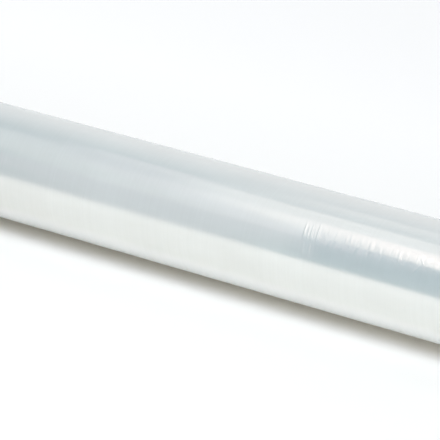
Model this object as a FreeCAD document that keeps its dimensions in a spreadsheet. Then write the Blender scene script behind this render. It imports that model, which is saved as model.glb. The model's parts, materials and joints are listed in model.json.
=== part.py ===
"""A roll of clear stretch film, wound on a paperboard core and lying on its side.

The roll lies along X on its small flat spot, and +Z is up. The origin is on the
surface that it lies on, below the middle of the roll. The +X end is the one by
the creases, and the creases face -Y.
"""
import FreeCAD, Part
import math
import os

import Sketcher

# Driving sizes: millimetres, degrees and counts
SIZES = (
    ("film_width", 500.0, "width of the film, which is the length of the winding"),
    ("film_radius", 45.0, "outer radius of the winding"),
    ("film_edge_bevel", 0.6, "softened corner of the outer turn at both ends"),
    ("tail_height", 0.3, "height of the film's tail edge over the turn below it"),
    ("tail_drop", 25.0, "angle of the tail edge below level, on the +Y side"),
    ("flat_width", 12.0, "width of the flat spot that the soft roll rests on"),
    ("turn_pitch", 1.9, "radial pitch of the turns that show on the end faces"),
    ("turn_gap", 0.5, "width of the shallow gap between two of those turns"),
    ("turn_depth", 0.6, "depth of that gap"),
    ("turn_margin", 1.2, "film left plain beside the core and the outer turn"),
    ("core_radius", 25.0, "inner radius of the core"),
    ("core_wall", 3.5, "wall of the core"),
    ("core_overhang", 5.0, "how far the core stands out of the film at each end"),
    ("core_bevel", 0.6, "bevel of the core's cut edges"),
    ("crease_width", 2.2, "width of a crease along the roll, with what is sunk in the film"),
    ("crease_slope", 25.0, "angle of a crease's two sides"),
    ("streak_start", 105.5, "X of the first crease of the band of fine creases"),
    ("streak_pitch", 3.6, "pitch of that band along the roll"),
    ("streak_count", 4, "creases in that band"),
    ("streak_level", 38.0, "angle of their middles above level, on the -Y side"),
    ("streak_shift", 5.0, "angle by which every second one lies higher"),
    ("streak_reach", 13.0, "angle from a crease's middle to its tip"),
    ("streak_height", 0.25, "height of a crease above the film"),
    ("pucker_start", 187.0, "X of the first of the short creases near the +X end"),
    ("pucker_pitch", 9.5, "pitch of the short creases along the roll"),
    ("pucker_count", 3, "short creases"),
    ("pucker_level", 34.0, "angle of their middles above level, on the -Y side"),
    ("pucker_shift", 5.0, "angle by which every second one lies higher"),
    ("pucker_reach", 9.0, "angle from a short crease's middle to its tip"),
    ("pucker_height", 0.2, "height of a short crease above the film"),
    ("pucker_slant", 24.0, "slant of the short creases across the roll"),
)
VALUE = {name: value for name, value, meaning in SIZES}

# Points on a piece of sketch geometry, and the two fixed references
START, END, CENTRE = range(1, 4)
LEVEL_AXIS = -1
ORIGIN_POINT = (LEVEL_AXIS, START)

doc = FreeCAD.newDocument("stretch_wrap_roll")


def make_sheet():
    """The spreadsheet of driving sizes, one row for each."""
    sheet = doc.addObject("Spreadsheet::Sheet", "sizes")
    for row, (name, value, meaning) in enumerate(SIZES, start=1):
        sheet.set(f"A{row}", name)
        sheet.set(f"B{row}", f"{value:g}")
        sheet.set(f"C{row}", meaning)
        sheet.setAlias(f"B{row}", name)
    doc.recompute()
    return sheet


def bind(item, prop, formula):
    """Tie a property to the sheet. A name after @ is a cell of the sheet."""
    item.setExpression(prop, formula.replace("@", "sizes."))


def make_body(label):
    """A body whose own origin is on the roll's axis."""
    body = doc.addObject("PartDesign::Body", label)
    body.Label = label
    bind(body, "Placement.Base.z", "sqrt(@film_radius ^ 2 - (@flat_width / 2) ^ 2)")
    return body


def plane_of(body, role):
    """One of the body's own origin planes."""
    for feature in body.Origin.OriginFeatures:
        if feature.Role == role:
            return feature
    raise RuntimeError(f"{body.Label} has no plane {role}")


def make_sketch(body, name, role="YZ_Plane"):
    """A sketch on an origin plane. On YZ_Plane its x is Y and its y is Z."""
    sketch = body.newObject("Sketcher::SketchObject", name)
    sketch.AttachmentSupport = (plane_of(body, role), [""])
    sketch.MapMode = "FlatFace"
    return sketch


def add_arc(sketch, centre, radius, start, end):
    """An arc, anticlockwise from start to end in degrees."""
    circle = Part.Circle(FreeCAD.Vector(*centre, 0), FreeCAD.Vector(0, 0, 1), radius)
    return sketch.addGeometry(
        Part.ArcOfCircle(circle, math.radians(start), math.radians(end)), False
    )


def add_line(sketch, first, last):
    return sketch.addGeometry(
        Part.LineSegment(FreeCAD.Vector(*first, 0), FreeCAD.Vector(*last, 0)), False
    )


def polar(radius, angle):
    return radius * math.cos(math.radians(angle)), radius * math.sin(math.radians(angle))


def tie(sketch, kind, *where):
    """A geometric constraint."""
    return sketch.addConstraint(Sketcher.Constraint(kind, *where))


def measure(sketch, kind, *where, size, formula):
    """A dimension that follows the sheet."""
    index = sketch.addConstraint(Sketcher.Constraint(kind, *where, size))
    bind(sketch, f"Constraints[{index}]", formula)


def add_ring_hole(sketch):
    """The hole that the core fills, with the core's own outer radius."""
    radius = VALUE["core_radius"] + VALUE["core_wall"]
    hole = sketch.addGeometry(
        Part.Circle(FreeCAD.Vector(), FreeCAD.Vector(0, 0, 1), radius), False
    )
    tie(sketch, "Coincident", hole, CENTRE, *ORIGIN_POINT)
    measure(
        sketch, "Radius", hole, size=radius, formula="@core_radius + @core_wall"
    )


def film_section(body):
    """Section of the winding: a two-centre spiral with its tail step and flat spot.

    The outer turn is two half turns that are tangent where they meet. The half
    turn that starts at the tail has the roll's own radius and centre, and the
    other one runs in under the tail. A chord below is the flat spot.
    """
    radius = VALUE["film_radius"]
    step = VALUE["tail_height"]
    flat = VALUE["flat_width"]
    tail = -VALUE["tail_drop"]
    flat_half_angle = math.degrees(math.asin(flat / 2 / radius))
    flat_left, flat_right = 270 - flat_half_angle, 270 + flat_half_angle

    sketch = make_sketch(body, "film_section")
    under = add_arc(sketch, polar(step / 2, tail + 180), radius - step / 2, tail, tail + 180)
    front = add_arc(sketch, (0, 0), radius, tail + 180, flat_left)
    chord = add_line(sketch, polar(radius, flat_left), polar(radius, flat_right))
    back = add_arc(sketch, (0, 0), radius, flat_right, tail + 360)
    lip = add_line(sketch, polar(radius, tail), polar(radius - step, tail))

    outline = (under, front, chord, back, lip)
    for first, second in zip(outline, outline[1:] + outline[:1]):
        tie(sketch, "Coincident", first, END, second, START)
    tie(sketch, "Coincident", front, CENTRE, *ORIGIN_POINT)
    tie(sketch, "Coincident", back, CENTRE, *ORIGIN_POINT)
    tie(sketch, "Equal", front, back)
    tie(sketch, "Horizontal", chord)
    tie(sketch, "PointOnObject", *ORIGIN_POINT, lip)
    tie(sketch, "PointOnObject", under, CENTRE, lip)
    tie(sketch, "PointOnObject", under, END, lip)
    measure(sketch, "Radius", front, size=radius, formula="@film_radius")
    measure(sketch, "Distance", chord, size=flat, formula="@flat_width")
    measure(sketch, "Distance", lip, size=step, formula="@tail_height")
    measure(
        sketch, "Angle", LEVEL_AXIS, START, lip, END,
        size=math.radians(tail), formula="-@tail_drop * 1 deg",
    )
    add_ring_hole(sketch)
    return sketch


def spiral_edge(sketch, second_centre, first_radius, formula, half_turns):
    """One edge of the gap between turns: half turns on two centres, growing outward."""
    step = VALUE["turn_pitch"] / 2
    arcs = []
    for index in range(half_turns):
        odd = index % 2
        arc = add_arc(
            sketch, (step * odd, 0), first_radius + step * index, 180 * odd, 180 * odd + 180
        )
        if odd:
            tie(sketch, "Coincident", arc, CENTRE, second_centre, START)
        else:
            tie(sketch, "Coincident", arc, CENTRE, *ORIGIN_POINT)
        if arcs:
            tie(sketch, "Coincident", arcs[-1], END, arc, START)
        else:
            tie(sketch, "PointOnObject", arc, START, LEVEL_AXIS)
        tie(sketch, "PointOnObject", arc, END, LEVEL_AXIS)
        arcs.append(arc)
    measure(sketch, "Radius", arcs[0], size=first_radius, formula=formula)
    return arcs


def turns_on_the_end(body):
    """The turns on the +X end face: one spiral gap, from beside the core outward.

    Its ends lie on the line of the tail edge. As many whole turns are cut as
    there is room for.
    """
    inner = VALUE["core_radius"] + VALUE["core_wall"] + VALUE["turn_margin"]
    outer = VALUE["film_radius"] - VALUE["tail_height"] - VALUE["turn_margin"]
    turns = int((outer - inner - VALUE["turn_gap"]) / VALUE["turn_pitch"])

    sketch = make_sketch(body, "turn_gap_path")
    spin = FreeCAD.Rotation(FreeCAD.Vector(0, 0, 1), -VALUE["tail_drop"])
    sketch.AttachmentOffset = FreeCAD.Placement(FreeCAD.Vector(), spin)
    bind(sketch, "AttachmentOffset.Base.z", "@film_width / 2")

    step = VALUE["turn_pitch"] / 2
    second = sketch.addGeometry(Part.Point(FreeCAD.Vector(step, 0, 0)), True)
    tie(sketch, "PointOnObject", second, START, LEVEL_AXIS)
    measure(
        sketch, "DistanceX", *ORIGIN_POINT, second, START,
        size=step, formula="@turn_pitch / 2",
    )
    first = "@core_radius + @core_wall + @turn_margin"
    low = spiral_edge(sketch, second, inner, first, 2 * turns)
    high = spiral_edge(
        sketch, second, inner + VALUE["turn_gap"], first + " + @turn_gap", 2 * turns
    )
    for low_arc, high_arc, place in ((low[0], high[0], START), (low[-1], high[-1], END)):
        ends = [sketch.getPoint(arc, place) for arc in (low_arc, high_arc)]
        cap = add_line(sketch, (ends[0].x, ends[0].y), (ends[1].x, ends[1].y))
        tie(sketch, "Coincident", cap, START, low_arc, place)
        tie(sketch, "Coincident", cap, END, high_arc, place)
    return sketch


def corner_section(body):
    """What is turned off the outer corner of the +X end, which leaves a bevel."""
    half_width = VALUE["film_width"] / 2
    radius = VALUE["film_radius"]
    bevel = VALUE["film_edge_bevel"]
    corners = (
        (half_width - 2 * bevel, radius + bevel),
        (half_width + bevel, radius - 2 * bevel),
        (half_width + bevel, radius + bevel),
    )
    sketch = make_sketch(body, "corner_section", "XZ_Plane")
    slope, fall, top = [
        add_line(sketch, one, two) for one, two in zip(corners, corners[1:] + corners[:1])
    ]
    for first, second in ((slope, fall), (fall, top), (top, slope)):
        tie(sketch, "Coincident", first, END, second, START)
    tie(sketch, "Vertical", fall)
    tie(sketch, "Horizontal", top)
    for where, size, formula in (
        (("DistanceX", *ORIGIN_POINT, fall, END), half_width + bevel,
         "@film_width / 2 + @film_edge_bevel"),
        (("DistanceY", *ORIGIN_POINT, fall, END), radius + bevel,
         "@film_radius + @film_edge_bevel"),
        (("Distance", fall), 3 * bevel, "3 * @film_edge_bevel"),
        (("Distance", top), 3 * bevel, "3 * @film_edge_bevel"),
    ):
        measure(sketch, *where, size=size, formula=formula)
    return sketch


def mirror_to_other_end(body, feature, name):
    """The same cut at the -X end."""
    mirrored = body.newObject("PartDesign::Mirrored", name)
    mirrored.Originals = [feature]
    mirrored.MirrorPlane = (plane_of(body, "YZ_Plane"), [""])
    body.Tip = mirrored
    doc.recompute()


def crease_section(body, group, index):
    """Section of a crease across the roll's axis: a flat arc closed by a chord.

    The arc's centre is moved off the roll's axis, towards the crease, so that the
    arc comes out of the film only between the crease's two tips. The chord is
    sunk in the film.
    """
    radius, height = VALUE["film_radius"], VALUE[f"{group}_height"]
    reach = VALUE[f"{group}_reach"]
    offset = height / (1 - math.cos(math.radians(reach)))
    bend = radius + height - offset
    depth = polar(radius, 1.4 * reach)[0]
    half = math.degrees(math.acos((depth - offset) / bend))

    sketch = make_sketch(body, f"{group}_section_{index + 1}")
    arc = add_arc(sketch, (offset, 0), bend, -half, half)
    ends = [(offset + x, y) for x, y in (polar(bend, half), polar(bend, -half))]
    chord = add_line(sketch, *ends)
    tie(sketch, "Coincident", arc, END, chord, START)
    tie(sketch, "Coincident", chord, END, arc, START)
    tie(sketch, "PointOnObject", arc, CENTRE, LEVEL_AXIS)
    tie(sketch, "Vertical", chord)
    shift = f"@{group}_height / (1 - cos(@{group}_reach))"
    measure(
        sketch, "DistanceX", *ORIGIN_POINT, arc, CENTRE, size=offset, formula=shift
    )
    measure(
        sketch, "Radius", arc, size=bend,
        formula=f"@film_radius + @{group}_height - {shift}",
    )
    measure(
        sketch, "DistanceX", *ORIGIN_POINT, chord, START, size=depth,
        formula=f"@film_radius * cos(1.4 * @{group}_reach)",
    )
    return sketch


def add_crease(body, group, index, slant):
    """A crease: a low ridge with two sloping sides that tapers out at both tips."""
    level = VALUE[f"{group}_level"] + VALUE[f"{group}_shift"] * (index % 2)
    sketch = crease_section(body, group, index)
    turn = FreeCAD.Rotation(FreeCAD.Vector(0, 0, 1), 180 - level)
    lean = FreeCAD.Rotation(FreeCAD.Vector(1, 0, 0), slant)
    sketch.AttachmentOffset = FreeCAD.Placement(FreeCAD.Vector(), turn * lean)
    place = f"@{group}_start + {index} * @{group}_pitch"
    bind(sketch, "AttachmentOffset.Base.z", place)
    doc.recompute()

    ridge = body.newObject("PartDesign::Pad", f"{group}_{index + 1}")
    ridge.Profile = sketch
    ridge.Midplane = True
    bind(ridge, "Length", "@crease_width")
    bind(ridge, "TaperAngle", "-@crease_slope")
    doc.recompute()


def make_film():
    """The winding: all the turns as one solid, with its creases and cut ends."""
    body = make_body("film_winding")
    section = film_section(body)
    doc.recompute()
    roll = body.newObject("PartDesign::Pad", "turns")
    roll.Profile = section
    roll.Midplane = True
    bind(roll, "Length", "@film_width")
    doc.recompute()

    plain = body.Shape.Volume
    corner = body.newObject("PartDesign::Groove", "bevelled_corner")
    corner.Profile = corner_section(body)
    corner.ReferenceAxis = (plane_of(body, "X_Axis"), [""])
    corner.Angle = 360
    doc.recompute()
    mirror_to_other_end(body, corner, "other_bevelled_corner")

    bevelled = body.Shape.Volume
    gap = body.newObject("PartDesign::Pocket", "turn_gap")
    gap.Profile = turns_on_the_end(body)
    bind(gap, "Length", "@turn_depth")
    doc.recompute()
    mirror_to_other_end(body, gap, "other_turn_gap")

    cut = body.Shape.Volume
    if not cut < bevelled < plain:
        raise RuntimeError("A cut in the film's ends missed it")
    for group in ("streak", "pucker"):
        for index in range(VALUE[f"{group}_count"]):
            slant = VALUE["pucker_slant"] * (1, -1)[index % 2] if group == "pucker" else 0
            add_crease(body, group, index, slant)
    if not body.Shape.Volume > cut:
        raise RuntimeError("No crease stands out of the film")
    return body


def core_section(body):
    """Section of the core: two circles on the roll's axis."""
    sketch = make_sketch(body, "core_section")
    add_ring_hole(sketch)
    radius = VALUE["core_radius"]
    bore = sketch.addGeometry(
        Part.Circle(FreeCAD.Vector(), FreeCAD.Vector(0, 0, 1), radius), False
    )
    tie(sketch, "Coincident", bore, CENTRE, *ORIGIN_POINT)
    measure(sketch, "Radius", bore, size=radius, formula="@core_radius")
    return sketch


def make_core():
    """The paperboard tube. Its outside is the wall that the film is wound on."""
    body = make_body("cardboard_core")
    section = core_section(body)
    doc.recompute()
    tube = body.newObject("PartDesign::Pad", "tube")
    tube.Profile = section
    tube.Midplane = True
    bind(tube, "Length", "@film_width + 2 * @core_overhang")
    doc.recompute()

    rims = [
        f"Edge{number}"
        for number, edge in enumerate(tube.Shape.Edges, start=1)
        if isinstance(edge.Curve, Part.Circle)
    ]
    bevel = body.newObject("PartDesign::Chamfer", "bevelled_rims")
    bevel.Base = (tube, rims)
    bind(bevel, "Size", "@core_bevel")
    doc.recompute()
    return body


def check(bodies):
    """Stop if an object has failed or a piece isn't one sound solid."""
    for item in doc.Objects:
        if {"Invalid", "Error"} & set(item.State):
            raise RuntimeError(f"{item.Name} failed: {item.State}")
    for body in bodies:
        if body.Shape.isNull() or not body.Shape.isValid():
            raise RuntimeError(f"{body.Label} isn't a valid shape")
        if len(body.Shape.Solids) != 1:
            raise RuntimeError(f"{body.Label} isn't one solid")


def write_steps(bodies):
    os.makedirs("parts", exist_ok=True)
    for body in bodies:
        body.Shape.exportStep(f"parts/{body.Label}.step")
        box = body.Shape.BoundBox
        print(
            f"{body.Label}: {body.Shape.Volume / 1000:.1f} cm3,"
            f" X {box.XMin:.2f} to {box.XMax:.2f},"
            f" Y {box.YMin:.2f} to {box.YMax:.2f},"
            f" Z {box.ZMin:.2f} to {box.ZMax:.2f}"
        )


make_sheet()
pieces = [make_film(), make_core()]
doc.recompute()
check(pieces)
write_steps(pieces)
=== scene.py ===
"""The looks of a roll of clear stretch film that lies on a white studio floor."""
import json
import math

import bpy
import numpy as np
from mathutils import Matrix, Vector, noise


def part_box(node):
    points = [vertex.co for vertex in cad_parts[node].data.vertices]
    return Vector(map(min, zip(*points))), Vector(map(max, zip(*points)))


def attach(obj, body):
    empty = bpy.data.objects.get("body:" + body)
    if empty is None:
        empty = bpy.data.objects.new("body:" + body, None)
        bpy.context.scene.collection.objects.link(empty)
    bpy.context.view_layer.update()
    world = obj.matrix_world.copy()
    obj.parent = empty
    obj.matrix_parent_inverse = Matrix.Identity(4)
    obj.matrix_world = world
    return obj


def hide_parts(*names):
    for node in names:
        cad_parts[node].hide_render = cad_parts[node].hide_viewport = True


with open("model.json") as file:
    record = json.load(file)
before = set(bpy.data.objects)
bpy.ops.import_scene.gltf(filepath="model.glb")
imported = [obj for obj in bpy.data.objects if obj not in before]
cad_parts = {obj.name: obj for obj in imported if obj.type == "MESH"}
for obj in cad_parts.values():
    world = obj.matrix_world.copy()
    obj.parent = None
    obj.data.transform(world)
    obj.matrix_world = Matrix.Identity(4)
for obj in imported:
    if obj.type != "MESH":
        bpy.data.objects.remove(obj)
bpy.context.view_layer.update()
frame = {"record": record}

MM = 0.001

# The roll, from the frame
MOUNTS = {mount["name"]: mount for mount in frame["record"]["mounts"]}
BORE = MOUNTS["core_bore"]
AXIS_Z = BORE["pos_m"][2]
BORE_RADIUS = BORE["dims"]["r_mm"] * MM
CORE_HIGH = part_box("cardboard_core")[1]
CORE_RADIUS = CORE_HIGH.y
CORE_HALF = CORE_HIGH.x
CORE_BEVEL = CORE_HALF - BORE["dims"]["length_mm"] * MM / 2
FILM_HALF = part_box("film_winding")[1].x

# The film's radius, its tail edge, the turns that show on its ends, and its rounded
# outer corners, as on the solid
FILM_RADIUS = 45 * MM
TAIL_ANGLE = math.radians(-25)
TAIL_HEIGHT = 0.3 * MM
TURN_PITCH = 1.9 * MM
TURN_GAP = 0.5 * MM
TURN_DEPTH = 0.6 * MM
TURN_MARGIN = 1.2 * MM
EDGE_ROUND = 0.7 * MM
SKIN_HALF = FILM_HALF - EDGE_ROUND

# The skin lies this far inside the solid, so that its creases stay in the solid's box
SKIN_INSET = 0.08 * MM
# Sine waves of the tail edge along the roll: angle in radians, length that one radian of
# the wave takes, start
TAIL_WAVES = ((0.004, 31 * MM, 0), (0.003, 9.7 * MM, 1))
# The floor can press only on film that faces down by more than this share
PRESSED_FROM = 0.5

# Single turns stand in from the end face by up to twice this much. The noise that says
# how far takes a stride for each turn along one row.
TURN_SHIFT = 0.12 * MM
TURN_STRIDE = 2.37
TURN_ROW = (0.4, 8.1)

# The worn film starts softly along X. Its scuffed band lies between two soft limits, in
# degrees above the level line on the -Y side.
WORN_X = (85 * MM, 125 * MM)
SCUFFED_LOW = (24, 34)
SCUFFED_HIGH = (44, 56)

# Waves of the film: the length of one lump along X, Y and Z, a seed, the height
# everywhere, and what is added where the film is worn and where it is scuffed. Lengths
# and heights are in millimetres.
WAVES = (
    ((60, 35, 35), 3.1, 0.060, 0, 0),
    ((11, 30, 30), 5.7, 0.010, 0.016, 0),
    ((3.2, 16, 16), 9.2, 0, 0.006, 0.034),
    ((1.9, 7, 7), 14.6, 0, 0, 0.062),
)
# A seed moves its noise this way
SEED_WAY = (1, 1.7, -2.3)

# A shallow fold in the worn film: where it rises and fades along X, the level of its
# crest and how far it spreads from there, in degrees, and its height
FOLD_RISE = (103.6 * MM, 105.4 * MM)
FOLD_FADE = (118 * MM, 160 * MM)
FOLD_LEVEL = 32
FOLD_SPREAD = 5.5
FOLD_HEIGHT = 0.15 * MM

# Creases in the film, in millimetres and degrees: X, angle above the level line on the
# -Y side, half their length round the roll, height, slant across the roll
CREASES = (
    (104.9, 38, 15, 0.14, -4),
    (106.2, 34, 14, 0.10, -6),
    (107.6, 27, 14, 0.13, -3),
    (108.6, 36, 12, 0.10, -6),
    (110.4, 25, 12, 0.12, 0),
    (110.7, 42, 12, 0.14, -6),
    (112.1, 39, 10, 0.09, -8),
    (113.2, 26, 12, 0.13, -3),
    (114.1, 35, 12, 0.10, -5),
    (116.0, 43, 11, 0.14, -5),
    (116.6, 27, 12, 0.10, 2),
    (117.6, 39, 9, 0.09, -7),
    (119.5, 31, 12, 0.09, -6),
    (122.3, 38, 10, 0.08, 3),
    (126.0, 40, 9, 0.08, -10),
    (131.0, 41, 7, 0.06, 9),
    (144.5, 44, 10, 0.07, -12),
    (150.2, 38, 9, 0.05, 6),
    (161.0, 39, 9, 0.06, -7),
    (173.0, 36, 9, 0.06, 8),
    (186.4, 37, 10, 0.13, -3),
    (188.9, 36, 7, 0.08, -22),
    (202.0, 33, 10, 0.11, 33),
    (205.8, 42, 7, 0.11, -38),
    (216.0, 38, 8, 0.07, 10),
    (-7.6, 58, 6, 0.10, 3),
)
CREASE_WIDTH = 0.58 * MM

# Columns of the film's mesh, finer at the creases: X and the step after it
SKIN_COLUMNS = (
    (-SKIN_HALF, 4 * MM), (-14 * MM, 0.7 * MM), (-2 * MM, 4 * MM), (90 * MM, 1 * MM),
    (102 * MM, 0.33 * MM), (122 * MM, 0.6 * MM), (183 * MM, 0.4 * MM),
    (191 * MM, 0.7 * MM), (198 * MM, 0.5 * MM), (211 * MM, 0.9 * MM), (SKIN_HALF, None),
)
# Its rows: degrees turned from the tail edge and the step after it
SKIN_ROWS = ((0, 2.5), (130, 2), (143, 1), (193, 2), (203, 2.5), (360, None))
# Points of a rounded corner, degrees turned from the skin to the end face
CORNER_TURNS = (90, 60, 30)
END_RINGS = 62

# The paperboard core: its helical seam, and the plies and fibres on its cut ends. The
# fibres' noise is taken round a circle, whose radius is in lumps.
SEAM_PITCH = 152 * MM
SEAM_WIDTH = 0.9 * MM
SEAM_DEPTH = 0.12 * MM
PLY_PITCH = 0.58 * MM
PLY_HEIGHT = 0.05 * MM
FUZZ_HEIGHT = 0.05 * MM
FUZZ_CIRCLE = 9
CUT_INSET = 0.10 * MM
# Steps of its mesh round the axis, along the bore and through the wall
CORE_AROUND = 180
CORE_ALONG = 130
CORE_WALL = 12
# Kinds of its surface
OUTSIDE, CUT, INSIDE = range(3)


def smoothstep(low, high, value):
    """0 below low, 1 above high, and a soft ramp between."""
    t = np.clip((value - low) / (high - low), 0, 1)
    return t * t * (3 - 2 * t)


def wave_noise(points, lengths, seed):
    """Smooth noise, about -1 to 1, at points. lengths are those of one lump."""
    shift = Vector([seed * part for part in SEED_WAY])
    scaled = (points / lengths).reshape(-1, 3)
    waves = [noise.noise(Vector(p) + shift) for p in scaled]
    return np.reshape(waves, points.shape[:-1])


def graded(stops):
    """A rising row of values. stops are (value, step after it), and the last ends the row."""
    row = []
    for (low, step), (high, _) in zip(stops, stops[1:]):
        count = max(1, round((high - low) / step))
        row.extend(np.linspace(low, high, count, endpoint=False))
    return np.array(row + [stops[-1][0]])


def round_axis(x, radius, angle, height=AXIS_Z):
    """Points at x, a distance from the roll's axis and an angle from +Y round it."""
    return np.stack([x, radius * np.cos(angle), radius * np.sin(angle) + height], axis=-1)


def closed_rings(start, count, around):
    """Vertex numbers of count rings. Each ends with its first number again."""
    rings = np.arange(start, start + count * around).reshape(count, around)
    return np.hstack([rings, rings[:, :1]]).tolist()


def band(first, second):
    """Faces between two rows of vertex numbers."""
    return list(zip(first, first[1:], second[1:], second))


def make_object(name, vertices, faces, materials, slots, sharp=40):
    """A mesh object, smooth apart from edges sharper than an angle in degrees."""
    mesh = bpy.data.meshes.new(name)
    mesh.from_pydata([tuple(v) for v in vertices], [], faces)
    for material in materials:
        mesh.materials.append(material)
    mesh.polygons.foreach_set("material_index", slots)
    mesh.polygons.foreach_set("use_smooth", [True] * len(mesh.polygons))
    mesh.set_sharp_from_angle(angle=math.radians(sharp))
    mesh.update()
    item = bpy.data.objects.new(name, mesh)
    bpy.context.scene.collection.objects.link(item)
    return item


def crease_height(x, level):
    """How far the creases lift the film at x and at level, degrees above the level line."""
    lift = np.zeros_like(x)
    for place, middle, reach, height, slant in CREASES:
        along = np.clip(1 - ((level - middle) / reach) ** 2, 0, None)
        lean = math.tan(math.radians(slant)) * np.radians(level - middle) * FILM_RADIUS
        across = ((x - place * MM - lean) / CREASE_WIDTH) ** 2
        lift += height * MM * along * (1 - across) * np.exp(-across)
    return lift


def wave_height(x, level, points):
    """How far its waves lift the film. They are finer where it is worn and scuffed."""
    worn = smoothstep(*WORN_X, x)
    scuffed = worn * smoothstep(*SCUFFED_LOW, level) * (1 - smoothstep(*SCUFFED_HIGH, level))
    lift = np.zeros_like(x)
    for lengths, seed, plain, on_worn, on_scuffed in WAVES:
        height = plain + on_worn * worn + on_scuffed * scuffed
        lift += height * MM * wave_noise(points, np.array(lengths) * MM, seed)
    return lift


def fold_height(x, level):
    """How far the fold lifts the film."""
    along = smoothstep(*FOLD_RISE, x) * (1 - smoothstep(*FOLD_FADE, x))
    return FOLD_HEIGHT * along * np.exp(-((level - FOLD_LEVEL) / FOLD_SPREAD) ** 2)


def turn_radius(turned):
    """Outer radius at an angle turned from the tail edge, for a perfect spiral."""
    shift = TAIL_HEIGHT / 2
    inner = np.sqrt((FILM_RADIUS - shift) ** 2 - (shift * np.sin(turned)) ** 2)
    return np.where(turned <= np.pi, inner - shift * np.cos(turned), FILM_RADIUS)


def film_surface(x, turned):
    """Points of the outer turn, at x and at the angle turned from the tail edge."""
    wander = sum(size * np.sin(x / length + start) for size, length, start in TAIL_WAVES)
    angle = TAIL_ANGLE + wander + turned
    level = 180 - np.degrees(angle)
    radius = turn_radius(turned)
    points = round_axis(x, radius, angle, height=0)
    lift = crease_height(x, level) + wave_height(x, level, points) + fold_height(x, level)
    pressed = AXIS_Z / np.maximum(-np.sin(angle), PRESSED_FROM)
    return round_axis(x, np.minimum(radius + lift - SKIN_INSET, pressed), angle)


def film_grid():
    """Points of the outer turn and its rounded corners, by column and row."""
    corner = np.radians(CORNER_TURNS)
    over = EDGE_ROUND * np.sin(corner)
    sunk = EDGE_ROUND * (1 - np.cos(corner))
    columns = graded(SKIN_COLUMNS)
    rows = np.radians(graded(SKIN_ROWS))
    columns_x = np.concatenate([-SKIN_HALF - over, columns, SKIN_HALF + over[::-1]])
    inward = np.concatenate([sunk, np.zeros(len(columns)), sunk[::-1]])

    x, turned = np.meshgrid(columns_x, rows, indexing="ij")
    points = film_surface(x, turned)
    axis = np.array([0, AXIS_Z])
    spread = points[..., 1:] - axis
    share = 1 - inward[:, None] / np.linalg.norm(spread, axis=-1)
    points[..., 1:] = spread * share[..., None] + axis
    return points


def end_depth(radius, angle):
    """How far the film's end face lies in from a flat face: its turns and their gaps."""
    start = CORE_RADIUS + TURN_MARGIN
    phase = (radius - start) / TURN_PITCH - ((angle - TAIL_ANGLE) / (2 * np.pi)) % 1
    turn = np.floor(phase)
    last = int((FILM_RADIUS - TAIL_HEIGHT - TURN_MARGIN - start - TURN_GAP) / TURN_PITCH)
    share = (phase - turn) * TURN_PITCH / TURN_GAP
    gap = np.where((turn >= 0) & (turn < last), np.clip(1 - (2 * share - 1) ** 2, 0, 1), 0)
    shift = [noise.noise(Vector((TURN_STRIDE * t, *TURN_ROW))) for t in turn.ravel()]
    return TURN_DEPTH * gap + TURN_SHIFT * (1 + np.reshape(shift, turn.shape))


def end_face(side, rim):
    """Points of an end face, in rings from inside its rim to the core."""
    rim_y, rim_z = rim[:, 1], rim[:, 2] - AXIS_Z
    rim_radius = np.hypot(rim_y, rim_z)
    share = np.linspace(0, 1, END_RINGS + 1)[1:]
    radius = rim_radius + share[:, None] * (CORE_RADIUS - rim_radius)
    angle = np.broadcast_to(np.arctan2(rim_z, rim_y), radius.shape)
    depth = end_depth(radius, angle)
    depth[-1] = 0
    return round_axis(side * (FILM_HALF - depth), radius, angle)


def make_film(skin, edge):
    """The winding as one closed mesh: the outer turn, its tail, both end faces, the hole."""
    grid = film_grid()
    columns, rows, _ = grid.shape
    around = rows - 1
    vertices = [grid]
    faces = []
    skin_rings = closed_rings(0, columns, rows)
    for first, second in zip(skin_rings, skin_rings[1:]):
        faces += band(first, second)
    slots = [0] * len(faces)

    start = columns * rows
    hole = []
    for side, column in ((-1, 0), (1, -1)):
        vertices.append(end_face(side, grid[column, :-1]))
        rim = skin_rings[column][:-1]
        rings = closed_rings(start, END_RINGS, around)
        tail_corner = (rim[0], rim[-1], rings[0][0])
        end_faces = [tail_corner]
        for outer, inner in zip([rim] + rings, rings):
            end_faces += band(inner, outer)
        if side > 0:
            end_faces = [face[::-1] for face in end_faces]
        faces += end_faces
        hole.append(rings[-1])
        start += END_RINGS * around
    faces += band(hole[1], hole[0])
    slots += [1] * (len(faces) - len(slots))

    points = np.concatenate([part.reshape(-1, 3) for part in vertices])
    film = make_object("film_roll", points, faces, [skin, edge], slots)
    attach(film, "root")
    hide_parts("film_winding")


def seam(x, angle):
    """Depth of the helical seam between two windings of paperboard strip."""
    turn = (x / SEAM_PITCH + angle / (2 * np.pi)) % 1
    away = np.minimum(turn, 1 - turn) * SEAM_PITCH
    return SEAM_DEPTH * np.exp(-(away / (SEAM_WIDTH / 2)) ** 2)


def cut_depth(radius, angles):
    """How far the core's cut end lies in at a radius: its plies and its fibres."""
    ply = PLY_HEIGHT * math.cos(2 * math.pi * (radius - BORE_RADIUS) / PLY_PITCH)
    circle = [(FUZZ_CIRCLE * math.cos(a), FUZZ_CIRCLE * math.sin(a)) for a in angles]
    fuzz = [noise.noise(Vector((*place, radius / MM))) for place in circle]
    return CUT_INSET + ply + FUZZ_HEIGHT * np.array(fuzz)


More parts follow.
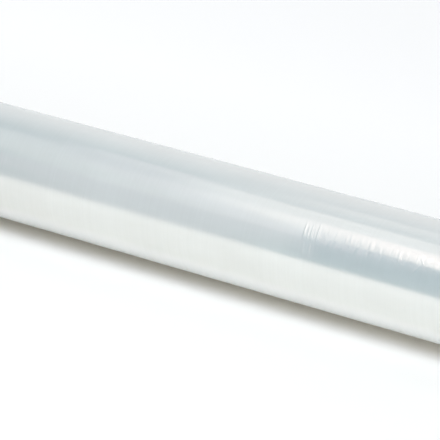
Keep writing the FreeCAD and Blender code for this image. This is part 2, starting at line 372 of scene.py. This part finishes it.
def core_section():
    """The core's section line: X, radius and kind of surface, round the wall."""
    half, bevel = CORE_HALF, CORE_BEVEL
    outer_x = (-half + bevel, -half + 2 * bevel, -FILM_HALF,
               FILM_HALF, half - 2 * bevel, half - bevel)
    bore_x = np.linspace(half - bevel, -half + bevel, CORE_ALONG)
    wall = np.linspace(BORE_RADIUS + bevel, CORE_RADIUS - bevel, CORE_WALL)
    section = [(x, CORE_RADIUS, OUTSIDE) for x in outer_x]
    section += [(half, radius, CUT) for radius in wall[::-1]]
    section += [(x, BORE_RADIUS, INSIDE) for x in bore_x]
    section += [(-half, radius, CUT) for radius in wall]
    return section


def make_core(board, cut):
    """The core as one closed mesh: a section line turned round the roll's axis."""
    section = core_section()
    angles = np.linspace(0, 2 * np.pi, CORE_AROUND, endpoint=False)
    vertices = []
    for x, radius, kind in section:
        ring_x = np.full(CORE_AROUND, x)
        if kind == CUT:
            ring_x -= math.copysign(1, x) * cut_depth(radius, angles)
        elif kind == INSIDE:
            radius = radius + seam(x, angles)
        vertices.append(round_axis(ring_x, radius, angles))

    faces, slots = [], []
    rings = closed_rings(0, len(section), CORE_AROUND)
    kinds = [kind for _, _, kind in section]
    for here in range(len(section)):
        following = (here + 1) % len(section)
        faces += band(rings[following], rings[here])
        slots += [int(kinds[here] == kinds[following] == CUT)] * CORE_AROUND
    core = make_object(
        "paperboard_core", np.concatenate(vertices), faces, [board, cut], slots, sharp=35)
    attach(core, "root")
    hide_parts("cardboard_core")


class Nodes:
    """Short calls for building the nodes of a material or of the world."""

    # Sockets of a node that mixes colours
    MIX_SHARE, MIX_FIRST, MIX_SECOND, MIX_RESULT = 0, 6, 7, 2

    def __init__(self, owner):
        owner.use_nodes = True
        self.owner = owner
        self.tree = owner.node_tree

    def add(self, kind, inputs=(), **settings):
        """A new node with its settings, and its inputs by socket."""
        node = self.tree.nodes.new(kind)
        for key, value in settings.items():
            setattr(node, key, value)
        for key, value in dict(inputs).items():
            self.set(node, key, value)
        return node

    def set(self, node, key, value):
        """Gives an input a value, or links it to the socket that the value is."""
        if isinstance(value, bpy.types.NodeSocket):
            self.tree.links.new(value, node.inputs[key])
        else:
            node.inputs[key].default_value = value

    def surface(self, inputs):
        """Sets inputs of the material's shader."""
        for key, value in inputs.items():
            self.set(self.tree.nodes["Principled BSDF"], key, value)

    def maths(self, operation, first, second=0.0, third=0.0):
        node = self.add("ShaderNodeMath", operation=operation)
        for index, value in enumerate((first, second, third)):
            self.set(node, index, value)
        return node.outputs[0]

    def product(self, first, *others):
        """All the values multiplied."""
        for other in others:
            first = self.maths("MULTIPLY", first, other)
        return first

    def blend(self, first, second, share):
        """A share of the first value and the rest of the second."""
        return self.maths("MULTIPLY_ADD", first, share, self.product(second, 1 - share))

    def object_point(self):
        return self.add("ShaderNodeTexCoord").outputs["Object"]

    def parts(self, vector):
        return self.add("ShaderNodeSeparateXYZ", {0: vector}).outputs

    def vector(self, *parts):
        node = self.add("ShaderNodeCombineXYZ")
        for index, value in enumerate(parts):
            self.set(node, index, value)
        return node.outputs[0]

    def noise(self, point, lumps, detail, roughness):
        """Noise with a number of lumps in each unit of the point's three values."""
        stretched = self.add("ShaderNodeMapping", {"Vector": point, "Scale": lumps}).outputs[0]
        return self.add("ShaderNodeTexNoise", {
            "Vector": stretched, "Scale": 1.0, "Detail": detail, "Roughness": roughness,
        }).outputs[0]

    def ramp(self, value, stops):
        """A colour ramp. stops are (position, linear colour)."""
        node = self.add("ShaderNodeValToRGB", {"Fac": value})
        points = node.color_ramp.elements
        while len(points) < len(stops):
            points.new(stops[len(points)][0])
        for point, (position, colour) in zip(points, stops):
            point.position = position
            point.color = (*colour, 1)
        return node.outputs[0]

    def levels(self, value, low, high, to_low=0.0, to_high=1.0, kind="LINEAR"):
        """to_low where the value is low, to_high where it is high, and even between."""
        return self.add("ShaderNodeMapRange", {
            "Value": value, "From Min": low, "From Max": high,
            "To Min": to_low, "To Max": to_high,
        }, interpolation_type=kind).outputs[0]

    def smooth(self, value, low, high):
        """0 where the value is low, 1 where it is high, and a soft ramp between."""
        return self.levels(value, low, high, kind="SMOOTHSTEP")

    def tinted(self, colour, tint, share):
        """The colour, multiplied by a tint where share is 1."""
        node = self.add("ShaderNodeMix", {
            self.MIX_SHARE: share, self.MIX_FIRST: colour, self.MIX_SECOND: tint,
        }, data_type="RGBA", blend_type="MULTIPLY")
        return node.outputs[self.MIX_RESULT]

    def bump(self, height, strength, distance, normal=None):
        """A normal, bent by the height, from another normal if one is given."""
        node = self.add("ShaderNodeBump", {
            "Height": height, "Strength": strength, "Distance": distance,
        })
        if normal is not None:
            self.set(node, "Normal", normal)
        return node.outputs[0]

    def cylinder(self, point):
        """X, distance from the roll's axis and angle round it."""
        x, y, z = self.parts(point)
        up = self.maths("SUBTRACT", z, AXIS_Z)
        radius = self.maths("SQRT", self.maths("MULTIPLY_ADD", up, up, self.product(y, y)))
        return x, radius, self.maths("ARCTAN2", up, y)

    def seen(self, camera_share=1.0):
        """1 for rays in a gloss or through something, camera_share for the camera's."""
        path = self.add("ShaderNodeLightPath").outputs
        seen = self.product(path["Is Camera Ray"], camera_share)
        seen = self.maths("MAXIMUM", seen, path["Is Glossy Ray"])
        return self.maths("MAXIMUM", seen, path["Is Transmission Ray"])


# The range in which most of a noise lies
NOISE_LOW, NOISE_HIGH = 0.3, 0.7

# Noises on the roll: lumps per metre along X, Y and Z, detail, roughness
FILM_LINES = ((700, 9, 9), 2, 0.5)
FILM_CLOUD = ((18, 40, 40), 3, 0.5)
FILM_SCUFFS = ((260, 45, 45), 4, 0.6)
BOARD_FIBRES = ((900, 2600, 2600), 5, 0.65)
BOARD_PATCHES = ((60, 90, 90), 3, 0.5)
CUT_FIBRES = ((2600, 2600, 2600), 5, 0.65)

# The film's skin. Its shades are shares of its colour, and a bump is a strength and a
# distance.
FILM_COLOUR = (0.60, 0.70, 0.72)
FILM_SHADES = (0.96, 1.04)
FILM_LINES_SHARE = 0.3
FILM_ROUGHNESS = (0.13, 0.18)
FILM_IOR = 3.6
FILM_TINT = (1.0, 0.84, 0.76, 1)
LINES_BUMP = (0.10, 0.3 * MM)
SCUFFS_BUMP = (0.10, 0.4 * MM)
# The worn film is darker and bluer between two soft limits, degrees above the level line:
# partly its own tone and partly painted shade that deepens the dark reflection there
WORN_AND_SHADE_TINT = (0.88, 0.90, 0.925, 1)
WORN_AND_SHADE_LOW = (5, 25)
WORN_AND_SHADE_HIGH = (55, 30)
# Low down, between such limits, the film's colour is painted lighter: painted light that
# stands in for the floor's light passing through the clear film
LOWER_PAINTED_LIGHT = (1.13, 1.09, 1.12, 1)
LOWER_HIGH = (-18, -36)
LOWER_LOW = (-125, -90)


def film_skin():
    """The film's outer turn: silvery, faintly blue-grey, with fine lines round the roll.
    Its colour holds painted shade on the worn part and painted light low down.
    """
    build = Nodes(bpy.data.materials.new("film_skin"))
    point = build.object_point()
    x, y, z = build.parts(point)
    level = build.maths("ARCTAN2", build.maths("SUBTRACT", z, AXIS_Z), build.product(y, -1.0))

    def between(low, high):
        """1 between two soft limits of the level, and 0 outside."""
        return build.product(build.smooth(level, *np.radians(low)),
                             build.smooth(level, *np.radians(high)))

    lines = build.noise(point, *FILM_LINES)
    cloud = build.noise(point, *FILM_CLOUD)
    scuffs = build.noise(point, *FILM_SCUFFS)
    dark, light = ([shade * part for part in FILM_COLOUR] for shade in FILM_SHADES)
    colour = build.ramp(build.blend(lines, cloud, FILM_LINES_SHARE),
                        ((NOISE_LOW, dark), (NOISE_HIGH, light)))
    # Partly the worn film's own tone, partly painted shade: darker and bluer where the dark
    # reflection lies
    worn = build.product(build.smooth(x, *WORN_X), between(WORN_AND_SHADE_LOW, WORN_AND_SHADE_HIGH))
    colour = build.tinted(colour, WORN_AND_SHADE_TINT, worn)
    # Painted light: the film's colour is made lighter on its lower side
    colour = build.tinted(colour, LOWER_PAINTED_LIGHT, between(LOWER_LOW, LOWER_HIGH))
    lined = build.bump(lines, *LINES_BUMP)
    build.surface({
        "Base Color": colour,
        "Roughness": build.levels(scuffs, NOISE_LOW, NOISE_HIGH, *FILM_ROUGHNESS),
        "Normal": build.bump(scuffs, *SCUFFS_BUMP, lined),
        "IOR": FILM_IOR,
        "Specular Tint": FILM_TINT,
    })
    return build.owner


# The film's cut ends. Their rings: how many to a turn, a seed, detail
EDGE_BROAD = (1.6, 0, 2)
EDGE_FINE = (9.0, 4, 3)
EDGE_FINE_SHARE = 0.55
# How fast the rings change round the roll, and the roughness of their noise
EDGE_ANGLE_SHARE = 0.25
EDGE_NOISE_ROUGHNESS = 0.5
EDGE_COLOURS = (
    (0.32, (0.40, 0.47, 0.47)), (0.5, (0.58, 0.65, 0.65)), (0.68, (0.74, 0.79, 0.78)),
)
EDGE_ROUGHNESS = (0.32, 0.5)
EDGE_IOR = 1.8
EDGE_BUMP = (0.5, 0.5 * MM)


def film_edge():
    """The film's cut ends: hundreds of turns edge-on, milky, with fine rings."""
    build = Nodes(bpy.data.materials.new("film_edge"))
    _, radius, angle = build.cylinder(build.object_point())
    turn = build.maths("SUBTRACT", build.maths("DIVIDE", radius, TURN_PITCH),
                       build.maths("DIVIDE", angle, 2 * math.pi))
    slow_angle = build.product(angle, EDGE_ANGLE_SHARE)

    def rings(per_turn, seed, detail):
        """Noise that changes fast from ring to ring and slowly round the axis."""
        place = build.vector(build.product(turn, per_turn), slow_angle, seed)
        return build.noise(place, (1, 1, 1), detail, EDGE_NOISE_ROUGHNESS)

    broad = rings(*EDGE_BROAD)
    fine = rings(*EDGE_FINE)
    mixed = build.blend(fine, broad, EDGE_FINE_SHARE)
    build.surface({
        "Base Color": build.ramp(mixed, EDGE_COLOURS),
        "Roughness": build.levels(fine, NOISE_LOW, NOISE_HIGH, *EDGE_ROUGHNESS),
        "Normal": build.bump(mixed, *EDGE_BUMP),
        "IOR": EDGE_IOR,
    })
    return build.owner


# The core's board. The dark line of its seam: width, as a share of the seam's, and how
# dark it is
SEAM_LINE_SHARE = 0.6
SEAM_LINE_DARKNESS = 0.25
BOARD_FIBRES_SHARE = 0.6
BOARD_COLOURS = (
    (0.25, (0.15, 0.105, 0.065)), (0.5, (0.36, 0.265, 0.175)), (0.72, (0.50, 0.385, 0.27)),
)
BOARD_ROUGHNESS = 0.82
BOARD_BUMP = (0.5, 0.3 * MM)


def core_board():
    """Grey-brown paperboard with fibres and the dark line of its helical seam."""
    build = Nodes(bpy.data.materials.new("core_board"))
    point = build.object_point()
    x, _, angle = build.cylinder(point)
    along = build.maths("DIVIDE", x, SEAM_PITCH)
    around = build.maths("DIVIDE", angle, 2 * math.pi)
    turn = build.maths("FRACT", build.maths("ADD", along, around))
    away = build.maths("MINIMUM", turn, build.maths("SUBTRACT", 1, turn))
    line = build.levels(away, 0, SEAM_LINE_SHARE * SEAM_WIDTH / SEAM_PITCH, 1, 0)
    fibres = build.noise(point, *BOARD_FIBRES)
    mixed = build.blend(fibres, build.noise(point, *BOARD_PATCHES), BOARD_FIBRES_SHARE)
    mixed = build.maths("SUBTRACT", mixed, build.product(line, SEAM_LINE_DARKNESS))
    build.surface({
        "Base Color": build.ramp(mixed, BOARD_COLOURS),
        "Roughness": BOARD_ROUGHNESS,
        "Normal": build.bump(fibres, *BOARD_BUMP),
    })
    return build.owner


# The core's cut ends
PLIES_SHARE = 0.12
CUT_COLOURS = (
    (0.28, (0.20, 0.145, 0.095)), (0.5, (0.40, 0.30, 0.205)), (0.7, (0.56, 0.45, 0.33)),
)
CUT_ROUGHNESS = 0.88
CUT_BUMP = (0.6, 0.4 * MM)


def core_cut():
    """The core's sawn ends, where its plies show as rings."""
    build = Nodes(bpy.data.materials.new("core_cut"))
    point = build.object_point()
    _, radius, _ = build.cylinder(point)
    plies = build.maths("SINE", build.product(radius, 2 * math.pi / PLY_PITCH))
    mixed = build.maths("MULTIPLY_ADD", plies, PLIES_SHARE, build.noise(point, *CUT_FIBRES))
    build.surface({
        "Base Color": build.ramp(mixed, CUT_COLOURS),
        "Roughness": CUT_ROUGHNESS,
        "Normal": build.bump(mixed, *CUT_BUMP),
    })
    return build.owner


# Half the floor's width, and how far in front of the roll and behind it its tone changes
FLOOR_REACH = 40.0
FLOOR_SPAN = 1.0
# Linear colours of the floor at a share of that way, from the front. The sheet of white
# paper ends in front of what the camera sees.
FLOOR_COLOURS = (
    (0.06, (0.45, 0.45, 0.44)),
    (0.31, (0.89, 0.89, 0.87)),
    (0.55, (0.90, 0.90, 0.88)),
    (0.66, (0.99, 0.98, 0.97)),
)
# A little light of its own. The camera sees it only from this far from the roll's middle,
# so that the shadow stays dark.
GLOW_COLOUR = (1.0, 1.0, 0.80, 1)
GLOW_LEVEL = 0.05
GLOW_FROM = (0.040, 0.095)
# A warmer, darker painted shadow on the floor below the roll, and where it ends
PAINTED_SHADOW_TINT = (0.93, 0.92, 0.88, 1)
PAINTED_SHADOW_X = (0.262, 0.235)
PAINTED_SHADOW_Y = (0.034, 0.020)


def floor_material():
    """White floor with a painted shadow below the roll. Camera and gloss see it a little
    brighter than its light makes it.
    """
    build = Nodes(bpy.data.materials.new("studio_floor"))
    x, y, _ = build.parts(build.object_point())
    out_x = build.maths("ABSOLUTE", x)
    out_y = build.maths("ABSOLUTE", y)
    colour = build.ramp(build.levels(y, -FLOOR_SPAN, FLOOR_SPAN), FLOOR_COLOURS)
    # Painted shadow: the floor's colour is darker and warmer below the roll
    under = build.product(build.smooth(out_x, *PAINTED_SHADOW_X), build.smooth(out_y, *PAINTED_SHADOW_Y))
    seen = build.seen(camera_share=build.smooth(out_y, *GLOW_FROM))
    build.surface({
        "Base Color": build.tinted(colour, PAINTED_SHADOW_TINT, under),
        "Roughness": 1,
        "Specular IOR Level": 0,
        "Emission Color": GLOW_COLOUR,
        "Emission Strength": build.product(seen, GLOW_LEVEL),
    })
    return build.owner


def make_floor():
    """A wide white floor."""
    corners = [(sx * FLOOR_REACH, sy * FLOOR_REACH, 0) for sx, sy in
               ((-1, -1), (1, -1), (1, 1), (-1, 1))]
    floor = make_object("floor", corners, [(0, 1, 2, 3)], [floor_material()], [0])


WHITE = (1.0, 1.0, 1.0)
COOL = (0.95, 1.0, 1.06)
WARM = (1.04, 1.0, 0.89)
SIDE = (1.09, 1.0, 1.12)
ROSY = (1.28, 1.0, 1.16)
SUNNY = (1.06, 1.0, 1.0)

# Distant lamps: name, where the light comes from, its width in degrees, level on a
# surface that faces it, colour
SUNS = (
    ("key_front", (0.38, -0.40, 0.83), 18, 0.09, COOL),
    ("key", (0.38, -0.22, 0.89), 18, 0.42, COOL),
    ("key_top", (0.38, -0.03, 0.92), 18, 0.125, COOL),
)
# The low lamp in front: the way to it from the roll, its distance and width in metres,
# its level at the roll, colour. It is near enough to fall off towards the -X end.
FILL_WAY = Vector((0.55, -0.835, 0.02))
FILL_DISTANCE = 3.3
FILL_WIDTH = 0.9
FILL_LEVEL = 0.825
FILL_COLOUR = WARM

# Panels near the roll, in metres. The overhead ones: name, X range, Y range, height,
# brightness, colour
OVERHEAD = (
    ("soft_middle", (-0.65, -0.50), (-0.65, -0.30), 1.2, 1.18, WHITE),
    ("soft_middle_right", (-0.50, -0.20), (-0.65, -0.30), 1.2, 1.42, SUNNY),
    ("soft_front", (-0.65, -0.50), (-1.00, -0.65), 1.2, 0.97, WHITE),
    ("soft_front_right", (-0.50, -0.20), (-1.00, -0.65), 1.2, 1.20, SUNNY),
    ("soft_back", (-0.65, -0.20), (-0.30, 0.15), 1.2, 0.96, WHITE),
    ("soft_far_back", (-0.65, -0.20), (0.15, 0.80), 1.2, 0.34, WHITE),
    ("side_front", (-0.85, -0.65), (-1.30, -0.75), 1.2, 0.58, SIDE),
    ("side_middle", (-0.85, -0.65), (-0.75, -0.30), 1.2, 0.55, SIDE),
    ("side_back", (-0.85, -0.65), (-0.30, 0.30), 1.2, 0.41, SIDE),
    ("outer", (-1.20, -0.85), (-1.30, 0.10), 1.2, 0.47, WHITE),
    ("near", (-0.17, 0.45), (-0.75, -0.35), 0.8, 1.2, WHITE),
)
# The upright ones: name, X range, Y, Z range, brightness, colour
SCREENS = (
    ("screen_high", (-0.85, -0.46), -1.0, (0.40, 1.00), 0.25, ROSY),
    ("screen_low", (-0.85, -0.46), -1.0, (0.00, 0.40), 0.21, ROSY),
    ("screen_outer", (-1.60, -0.85), -1.0, (0.40, 1.00), 0.23, ROSY),
    ("front_middle", (-0.05, 0.30), -0.9, (0.30, 0.60), 1.3, WHITE),
    ("front_low", (0.20, 0.90), -0.7, (0.02, 0.30), 0.85, SIDE),
)
ORIGIN = (0, 0, 0)


def add_lamp(name, kind, place, target, colour):
    """A lamp that the camera doesn't see, at a place and turned to a target."""
    lamp = bpy.data.lights.new(name, kind)
    lamp.color = colour
    item = bpy.data.objects.new(name, lamp)
    item.location = place
    item.rotation_euler = (Vector(target) - Vector(place)).to_track_quat("-Z", "Y").to_euler()
    item.visible_camera = False
    bpy.context.scene.collection.objects.link(item)
    return lamp


def add_panel(name, middle, target, width, depth, brightness, colour):
    """A flat lamp. brightness is that of its surface."""
    lamp = add_lamp(name, "AREA", middle, target, colour)
    lamp.shape = "RECTANGLE"
    lamp.size = width
    lamp.size_y = depth
    lamp.energy = brightness * math.pi * width * depth


def make_lamps():
    """The distant lamps, the low lamp in front and the panels."""
    for name, place, width, level, colour in SUNS:
        lamp = add_lamp(name, "SUN", place, ORIGIN, colour)
        lamp.angle = math.radians(width)
        lamp.energy = level * math.pi
    brightness = FILL_LEVEL * math.pi * (FILL_DISTANCE / FILL_WIDTH) ** 2
    add_panel("fill", FILL_DISTANCE * FILL_WAY, ORIGIN, FILL_WIDTH, FILL_WIDTH,
              brightness, FILL_COLOUR)
    for name, (left, right), (front, back), height, brightness, colour in OVERHEAD:
        middle = Vector(((left + right) / 2, (front + back) / 2, height))
        under = Vector((middle.x, middle.y, 0))
        add_panel(name, middle, under, right - left, back - front, brightness, colour)
    for name, (left, right), place, (low, high), brightness, colour in SCREENS:
        middle = Vector(((left + right) / 2, place, (low + high) / 2))
        facing = Vector((middle.x, 0, middle.z))
        add_panel(name, middle, facing, right - left, high - low, brightness, colour)


# The surroundings: how bright they are straight behind the roll
BACK_LEVEL = 1.2
# Their pale wall, as parts of a direction: the X that it leaves free, how far from there
# it starts, and the Z between which it ends at its top
WALL_LEVEL = 1.0
WALL_GAP = -0.5
WALL_SIDES = (0.20, 0.35)
WALL_TOP = (0.34, 0.16)


def make_world():
    """A dark studio, bright behind the roll. Camera and gloss see a pale wall low down."""
    build = Nodes(bpy.data.worlds.new("studio"))
    bpy.context.scene.world = build.owner
    x, y, z = build.parts(build.add("ShaderNodeTexCoord").outputs["Generated"])
    back = build.product(build.maths("MAXIMUM", y, 0.0), BACK_LEVEL)
    aside = build.maths("ABSOLUTE", build.maths("SUBTRACT", x, WALL_GAP))
    wall = build.product(build.smooth(aside, *WALL_SIDES), build.smooth(z, *WALL_TOP),
                         build.seen())
    rest = build.product(back, build.maths("SUBTRACT", 1.0, wall))
    background = build.tree.nodes["Background"]
    build.set(background, "Strength", build.maths("MULTIPLY_ADD", wall, WALL_LEVEL, rest))
    build.set(background, "Color", (1, 1, 1, 1))


# The camera: a long lens, from the side of the +X end. Metres, and millimetres for the
# lens and its sensor
CAMERA_AZIMUTH = math.radians(33.34)
CAMERA_ELEVATION = math.radians(25)
CAMERA_DISTANCE = 2.391
CAMERA_REACH = 200
CAMERA_LENS = 253.2
CAMERA_SENSOR = 36
LOOK_AT = Vector((7 * MM, 0, AXIS_Z + 0.26 * MM))


def make_camera():
    """The camera that takes the photograph's view."""
    camera = bpy.data.cameras.new("camera")
    camera.sensor_fit = "HORIZONTAL"
    camera.sensor_width = CAMERA_SENSOR
    camera.lens = CAMERA_LENS
    camera.clip_end = CAMERA_REACH
    item = bpy.data.objects.new("camera", camera)
    level = math.cos(CAMERA_ELEVATION)
    back = Vector((
        math.sin(CAMERA_AZIMUTH) * level,
        -math.cos(CAMERA_AZIMUTH) * level,
        math.sin(CAMERA_ELEVATION),
    ))
    item.location = LOOK_AT + CAMERA_DISTANCE * back
    item.rotation_euler = (-back).to_track_quat("-Z", "Y").to_euler()
    bpy.context.scene.collection.objects.link(item)
    bpy.context.scene.camera = item


make_film(film_skin(), film_edge())
make_core(core_board(), core_cut())
make_floor()
make_world()
make_lamps()
make_camera()
bpy.context.scene.view_settings.view_transform = "Standard"
